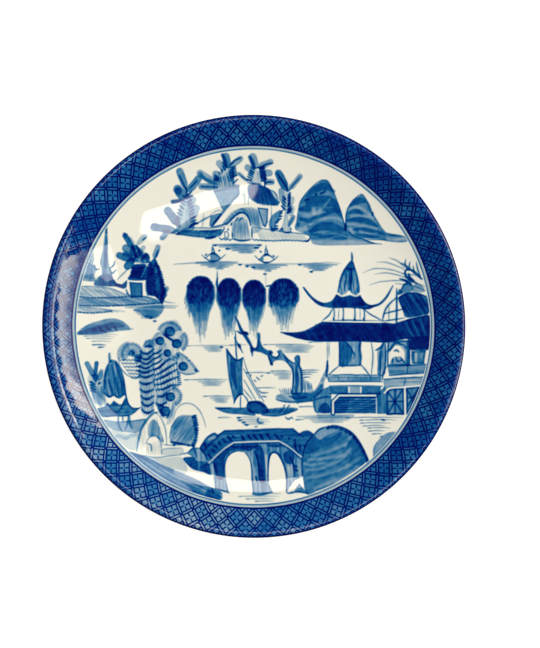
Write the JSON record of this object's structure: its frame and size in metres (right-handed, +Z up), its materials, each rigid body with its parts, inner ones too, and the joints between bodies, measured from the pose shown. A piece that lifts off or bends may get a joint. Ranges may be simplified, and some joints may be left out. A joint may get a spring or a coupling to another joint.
{
  "type": "dinner plate",
  "caption": "Round porcelain dinner plate with a shallow well, a rising rim with a rolled lip and a foot ring, decorated in blue under a clear glaze.",
  "frame": {"origin": "centre of the foot ring's resting face, on the surface the plate stands on", "axes": "+Z up out of the plate's face along its axis of rotation, +Y towards the top of the painted scene, +X to the scene's right"},
  "size_m": [0.26, 0.26, 0.0237],
  "materials": {
    "porcelain_body": "fired biscuit porcelain under the glaze",
    "bare_foot": "unglazed, slightly gritty standing edge",
    "painted_well": "glossy clear glaze over a hand painted cobalt landscape",
    "ring_line": "glossy clear glaze over a brushed cobalt line",
    "printed_border": "glossy clear glaze over a printed cobalt lattice",
    "edge_line": "glossy dark cobalt dressing round the lip",
    "white_glaze": "glossy clear glaze, faintly blue-white"
  },
  "bodies": {
    "root": {"well_floor": "porcelain_body", "cavetto_wall": "porcelain_body", "rim_flange": "porcelain_body", "foot_ring": "bare_foot", "landscape_painting": "painted_well", "inner_ring_line": "ring_line", "lattice_border": "printed_border", "rim_edge_line": "edge_line", "underside_glaze": "white_glaze", "foot_recess_glaze": "white_glaze"}
  },
  "joints": []
}
